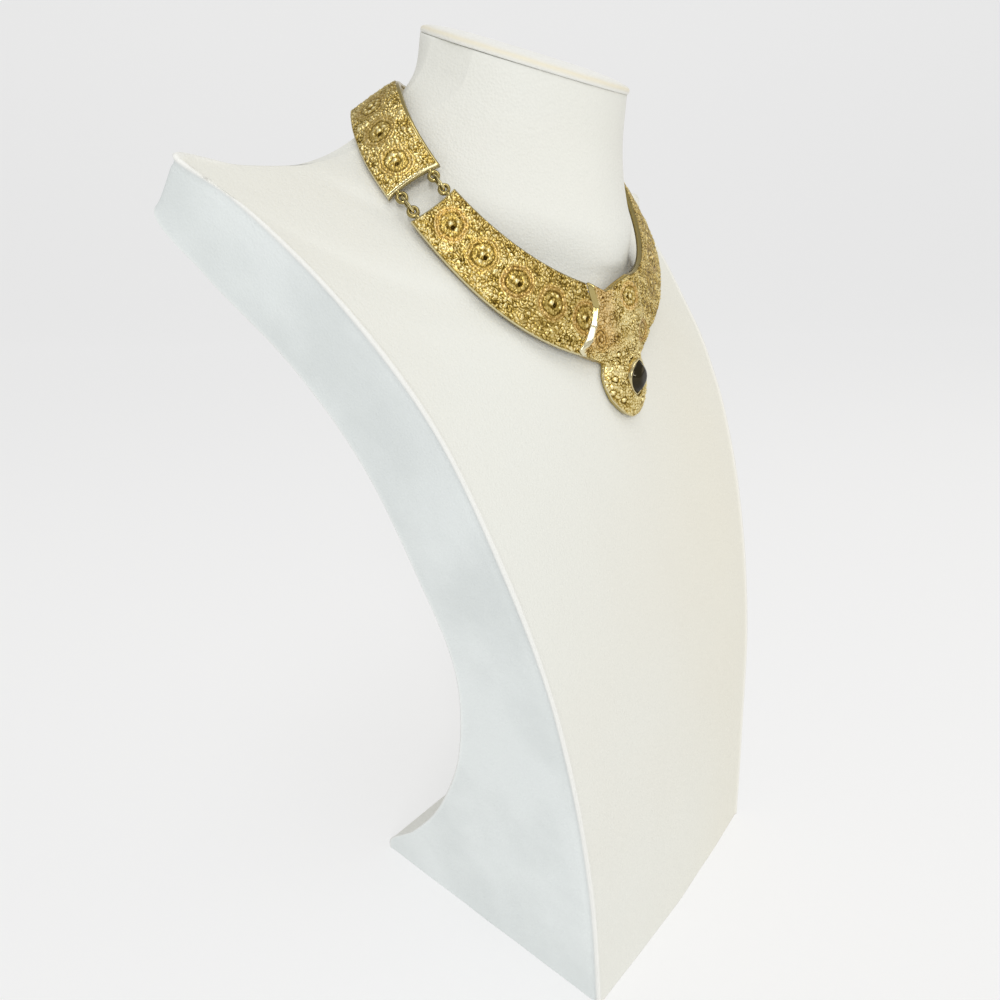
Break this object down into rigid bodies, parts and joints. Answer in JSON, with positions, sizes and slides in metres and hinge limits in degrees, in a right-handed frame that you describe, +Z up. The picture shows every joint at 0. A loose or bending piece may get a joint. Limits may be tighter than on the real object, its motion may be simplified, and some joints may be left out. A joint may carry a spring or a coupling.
{
  "type": "bib necklace on neck bust",
  "caption": "Collar necklace of curved textured metal panels joined by oval links, with a front drop set with a dark stone, shown on a padded bust that displays it",
  "frame": {"origin": "on the table, under the middle of the object's box", "axes": "+Z up; the bust faces -Y, so the centre piece and stone look to -Y; +X is to the right of a viewer who faces the bust"},
  "size_m": [0.262, 0.1382, 0.3577],
  "materials": {
    "cover": "warm cream-white leatherette with a fine grain",
    "gilt": "antiqued gold plate, pebbled face with polished edges and darker hollows",
    "stone": "glossy, near-black brown"
  },
  "bodies": {
    "root": {"neck_bust": "cover", "neck_cap": "cover", "front_panel_left": "gilt", "front_panel_right": "gilt", "back_panel_left": "gilt", "back_panel_right": "gilt", "link_left_lower": "gilt", "link_left_upper": "gilt", "link_right_lower": "gilt", "link_right_upper": "gilt", "clasp": "gilt", "centre_piece": "gilt", "stone": "stone"}
  },
  "joints": []
}
